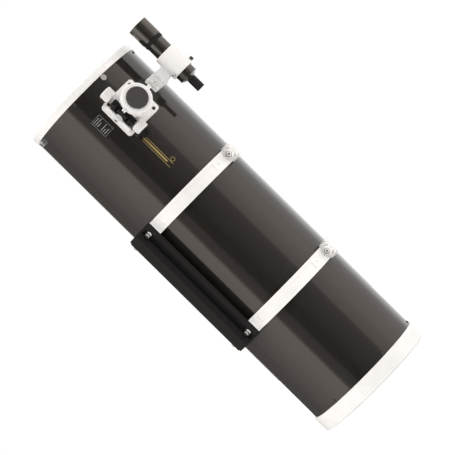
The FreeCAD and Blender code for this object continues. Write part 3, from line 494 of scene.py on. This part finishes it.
def springShape(values, angle):
    # a round wire carried along a helix; the pitch closes up at both ends, as on a ground spring
    rows, around, wire = values["steps"], values["around"], values["wire"]
    t = np.linspace(0.0, 1.0, rows)
    wind = 2.0 * pi * values["turns"] * t
    low, high = values["bottom"] + wire, values["top"] - wire
    eased = np.clip((t - values["ground"]) / (1.0 - 2.0 * values["ground"]), 0.0, 1.0)
    radial = np.column_stack([np.cos(wind), np.sin(wind), np.zeros_like(wind)])
    line = np.array(station(angle, values["circle"], 0.0)[:]) + values["coil"] * radial
    line[:, 2] += low + (high - low) * eased
    way = np.linspace(2.0 * pi, 0.0, around, endpoint=False)
    upward = np.array([0.0, 0.0, 1.0])
    section = np.cos(way)[None, :, None] * radial[:, None, :] + np.sin(way)[None, :, None] * upward
    points = (line[:, None, :] + wire * section).reshape(-1, 3)
    points = np.concatenate([points, line[:1], line[-1:]])
    return points, gridFaces(rows, around) + fanFaces(rows, around)


def makeSprings(values):
    shapes = [springShape(values, angle) for angle in values["stations"]]
    obj = newPiece("cellCoilSprings", shapes, finishes["steel"], smooth=True)
    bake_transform(obj)
    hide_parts("cell_springs")


makeSprings(coilSpring)
print("cell springs made")


# focuser knobs and the faces of the clamp knobs

def turnedShape(profile, around, ribs=0, depth=0.0, grip=(0.0, 0.0)):
    # a profile of (height, radius) turned about Z and closed by a point at each end; between the grip
    # heights the radius dips by depth in a row of narrow flutes, the cube of a raised cosine round the rim
    height, radius = np.array(profile).T
    way = np.linspace(0.0, 2.0 * pi, around, endpoint=False)
    flute = (0.5 + 0.5 * np.cos(ribs * way)) ** 3 if ribs else np.zeros(around)
    held = ((height > grip[0]) & (height < grip[1])).astype(float)
    reach = radius[:, None] - depth * held[:, None] * flute[None, :]
    lift = np.repeat(height[:, None], around, 1)
    points = np.stack([reach * np.cos(way), reach * np.sin(way), lift], axis=-1)
    ends = [[0.0, 0.0, height[0]], [0.0, 0.0, height[-1]]]
    rows = len(height)
    return np.concatenate([points.reshape(-1, 3), ends]), gridFaces(rows, around) + fanFaces(rows, around)


def arcProfile(height, radius, soft, start, end, steps=7):
    # an arc of soft radius about the point (height, radius), from one angle to another
    a = np.radians(np.linspace(start, end, steps))
    return [(height + soft * np.sin(t), radius + soft * np.cos(t)) for t in a]


def aimed(shape, place, way):
    # turns +Z to a direction and lifts the points to a place
    points, faces = shape
    turn = np.array(Vector((0.0, 0.0, 1.0)).rotation_difference(Vector(way)).to_matrix())
    return points @ turn.T + np.array(place[:]), faces


def addTurned(name, shapes, material, body):
    obj = newPiece(name, shapes, material, smooth=True)
    obj.data.set_sharp_from_angle(angle=radians(32.0))
    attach(obj, body)
    return obj


# a knob is its starting height from the shaft's middle, its length and the way that it points
focusKnobs = {"angle": 20.0, "height": 0.981, "radial": 0.215, "along": -0.03005,
              "coarse": {"knobs": ((0.0492, 0.0268, 1.0), (-0.0442, 0.0228, -1.0)), "radius": 18.5 * mm,
                         "ribs": 40, "crown": 4.5 * mm},
              "fine": {"knobs": ((-0.0676, 0.0192, -1.0),), "radius": 13.5 * mm, "ribs": 30,
                       "crown": 2.5 * mm},
              "flute": 0.75 * mm, "dish": 1.4 * mm, "soft": 1.4 * mm}


def knobProfile(values, style, length):
    # rim edges rounded; the outer end swells in a low crown and drops into a shallow dish
    radius, crown, soft, dish = style["radius"], style["crown"], values["soft"], values["dish"]
    lip = radius - crown
    profile = [(0.0, radius * 0.55)] + arcProfile(soft, radius - soft, soft, -90.0, 0.0)
    profile += [(length * share, radius) for share in (0.2, 0.35, 0.5, 0.65)]
    profile += arcProfile(length - crown, lip, crown, 0.0, 78.0, 12)
    profile += [(length, lip), (length, lip - 1.2 * mm), (length - dish, lip - 2.0 * mm)]
    return profile + [(length - dish, 0.3 * lip)]


def knobShapes(values, style):
    shapes = []
    for start, length, side in style["knobs"]:
        grip = (1.5 * mm, length - 0.6 * style["crown"])
        ribs = style["ribs"]
        knob = turnedShape(knobProfile(values, style, length), ribs * 8, ribs, values["flute"], grip)
        place = station(values["angle"], values["radial"], values["height"] + start, values["along"])
        shapes.append(aimed(knob, place, (0.0, 0.0, side)))
    return shapes


def makeFocusKnobs(values):
    coarse = addTurned("coarseFocusKnobs", knobShapes(values, values["coarse"]), finishes["grey_paint"],
                       "focus_shaft")
    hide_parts("coarse_knobs")
    fine = addTurned("fineFocusKnob", knobShapes(values, values["fine"]), finishes[slotOf["fine_knob"]],
                     "fine_knob")
    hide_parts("fine_knob")


clampFace = {"angle": 57.0, "radial": 0.204, "along": -0.0204,
             "rings": (("rear_clamp", 0.346), ("front_clamp", 0.712)), "washer": 9.2 * mm, "hole": 7.2 * mm,
             "height": 1.1 * mm, "soft": 0.3 * mm, "socket": 3.9 * mm, "depth": 0.9 * mm, "plug": 1.5 * mm}
washerGrey = paint("washerGrey", (0.20, 0.20, 0.195), bareMetal, 0.4, grain=900.0, bump=0.1)


def makeClampFaces(values):
    # a washer let into the face of each clamp knob, rounded outside and bored inside; its floor lies
    # under the knob's own face, and a dark disc shuts the hexagon socket in the middle as painted shade for
    # the socket's depth
    outer, hole, height, soft = values["washer"], values["hole"], values["height"], values["soft"]
    sunk = 0.1 * mm
    washer = [(0.0, 0.9 * outer), (0.0, outer)] + arcProfile(height - soft, outer - soft, soft, 0.0, 90.0)
    washer += [(height, hole + soft), (height - soft, hole), (sunk, hole), (sunk, 0.5 * hole)]
    socket, top = values["socket"], -values["depth"]
    bottom = top - values["plug"]
    plug = [(bottom, 0.5 * socket), (bottom, socket), (top, socket), (top, 0.5 * socket)]
    angle = radians(values["angle"])
    outward = (-cos(angle), -sin(angle), 0.0)
    for body, z in values["rings"]:
        place = station(values["angle"], values["radial"], z, values["along"])
        cover, middle = (aimed(turnedShape(profile, 72), place, outward) for profile in (washer, plug))
        addTurned(body + "_washer", [cover], washerGrey, body)
        # the dark disc in the socket is painted shade for the deep hole
        addTurned(body + "_socket", [middle], deepBlack, body)


makeFocusKnobs(focusKnobs)
makeClampFaces(clampFace)
print("focuser knobs and clamp faces made")


# camera, light and floor

camera = {"distance": 6.3, "height": 0.5775, "sideways": 0.018, "lens": 184.2, "roll": -45.4}


def makeCamera(values):
    data = bpy.data.cameras.new("camera")
    data.lens = values["lens"]
    data.sensor_width = 36.0
    data.clip_end = 60.0
    obj = bpy.data.objects.new("camera", data)
    bpy.context.scene.collection.objects.link(obj)
    level = Matrix.Rotation(radians(90.0), 4, "X")
    roll = Matrix.Rotation(radians(values["roll"]), 4, "Z")
    place = Matrix.Translation((values["sideways"], -values["distance"], values["height"]))
    obj.matrix_world = place @ level @ roll
    bpy.context.scene.camera = obj


# the studio at the height of the object: station angle, brightness and share of the warm tint
studioRound = ((-180, 0.35, 1), (-165, 0.14, 1), (-148, 0.13, 1), (-121, 0.33, 1), (-102, 0.73, 1),
               (-87, 1.1, 1), (-73, 1.5, 1), (-61, 1.8, 1), (-42, 2.0, 1), (-36, 0.4, 1), (-20, 0.28, 1),
               (-16, 0.0, 1), (-1, 0.0, 1), (3, 0.1, 1), (36, 0.35, 1), (46, 0.5, 1), (51, 1.2, 1),
               (84, 1.6, 1), (111, 1.15, 0.8), (128, 0.85, 0.5), (137, 1.1, 0), (165, 1.15, 0), (180, 0.4, 0))
studio = {"round": studioRound, "tint": (1.0, 0.90, 0.84), "dome": (1.6, 1.6, 1.6), "low": 0.2, "high": 0.42}


def makeWorld(values):
    # pure white to the camera; as light, a bright dome over and under a darker band with its own glow
    world = bpy.data.worlds.new("studio")
    world.use_nodes = True
    tree = world.node_tree
    tree.nodes.clear()
    way = tree.nodes.new("ShaderNodeTexCoord").outputs["Generated"]
    axes = tree.nodes.new("ShaderNodeSeparateXYZ")
    tree.links.new(way, axes.inputs[0])
    toFront = mathNode(tree, "MULTIPLY", axes.outputs["Y"], -1.0)
    angle = mathNode(tree, "ARCTAN2", axes.outputs["X"], toFront)
    turn = spread(tree, angle, -pi, pi)
    ramp = tree.nodes.new("ShaderNodeValToRGB")
    peak = max(level for _, level, _ in values["round"])
    elements = ramp.color_ramp.elements
    for i, (degrees, level, warm) in enumerate(values["round"]):
        place = degrees / 360.0 + 0.5
        element = elements[i] if i < 2 else elements.new(place)
        element.position = place
        element.color = (*(level / peak * (1.0 - warm * (1.0 - c)) for c in values["tint"]), 1.0)
    tree.links.new(turn, ramp.inputs[0])
    scale = tree.nodes.new("ShaderNodeVectorMath")
    scale.operation = "SCALE"
    scale.inputs["Scale"].default_value = peak
    tree.links.new(ramp.outputs["Color"], scale.inputs[0])
    height = mathNode(tree, "ABSOLUTE", axes.outputs["Z"])
    light = mixColours(tree, spread(tree, height, values["low"], values["high"]), scale.outputs["Vector"],
                       values["dome"])
    around = tree.nodes.new("ShaderNodeBackground")
    tree.links.new(light, around.inputs["Color"])
    seen = tree.nodes.new("ShaderNodeBackground")
    seen.inputs["Color"].default_value = (1.0, 1.0, 1.0, 1.0)
    path = tree.nodes.new("ShaderNodeLightPath")
    mix = tree.nodes.new("ShaderNodeMixShader")
    out = tree.nodes.new("ShaderNodeOutputWorld")
    tree.links.new(path.outputs["Is Camera Ray"], mix.inputs[0])
    tree.links.new(around.outputs[0], mix.inputs[1])
    tree.links.new(seen.outputs[0], mix.inputs[2])
    tree.links.new(mix.outputs[0], out.inputs[0])
    bpy.context.scene.world = world


floorDisc = {"radius": 3.0, "level": -0.5 * mm, "rings": 11, "around": 96, "pale": 0.93, "rough": 0.9,
             "glow": 0.2}


def floorMaterial(values):
    # pale seen from above, with a little glow for the camera alone; nothing at all seen from below
    material, tree, shader, _ = newMaterial("paleFloor")
    shader.inputs["Base Color"].default_value = (*[values["pale"]] * 3, 1.0)
    shader.inputs["Roughness"].default_value = values["rough"]
    shader.inputs["Emission Color"].default_value = (1.0, 1.0, 1.0, 1.0)
    path = tree.nodes.new("ShaderNodeLightPath")
    glow = mathNode(tree, "MULTIPLY", path.outputs["Is Camera Ray"], values["glow"])
    tree.links.new(glow, shader.inputs["Emission Strength"])
    under = tree.nodes.new("ShaderNodeNewGeometry").outputs["Backfacing"]
    clear = tree.nodes.new("ShaderNodeBsdfTransparent")
    mix = tree.nodes.new("ShaderNodeMixShader")
    tree.links.new(under, mix.inputs[0])
    tree.links.new(shader.outputs[0], mix.inputs[1])
    tree.links.new(clear.outputs[0], mix.inputs[2])
    tree.links.new(mix.outputs[0], tree.nodes["Material Output"].inputs["Surface"])
    return material


def makeFloor(values):
    # a round floor as a grid of two parameters, radius inward and angle, with one face in the middle
    rings, around = values["rings"], values["around"]
    angle = np.linspace(0.0, 2.0 * pi, around, endpoint=False)
    radius = np.linspace(values["radius"], 0.0, rings, endpoint=False)
    points = np.stack([np.outer(radius, np.cos(angle)), np.outer(radius, np.sin(angle)),
                       np.full((rings, around), values["level"])], axis=-1).reshape(-1, 3)
    disc = list(range((rings - 1) * around, rings * around))
    obj = newPiece("floor", [(points, gridFaces(rings, around) + [disc])], floorMaterial(values))
    obj.visible_glossy = False


makeCamera(camera)
makeWorld(studio)
makeFloor(floorDisc)
bpy.context.scene.view_settings.view_transform = "Standard"
print("camera, light and floor set")
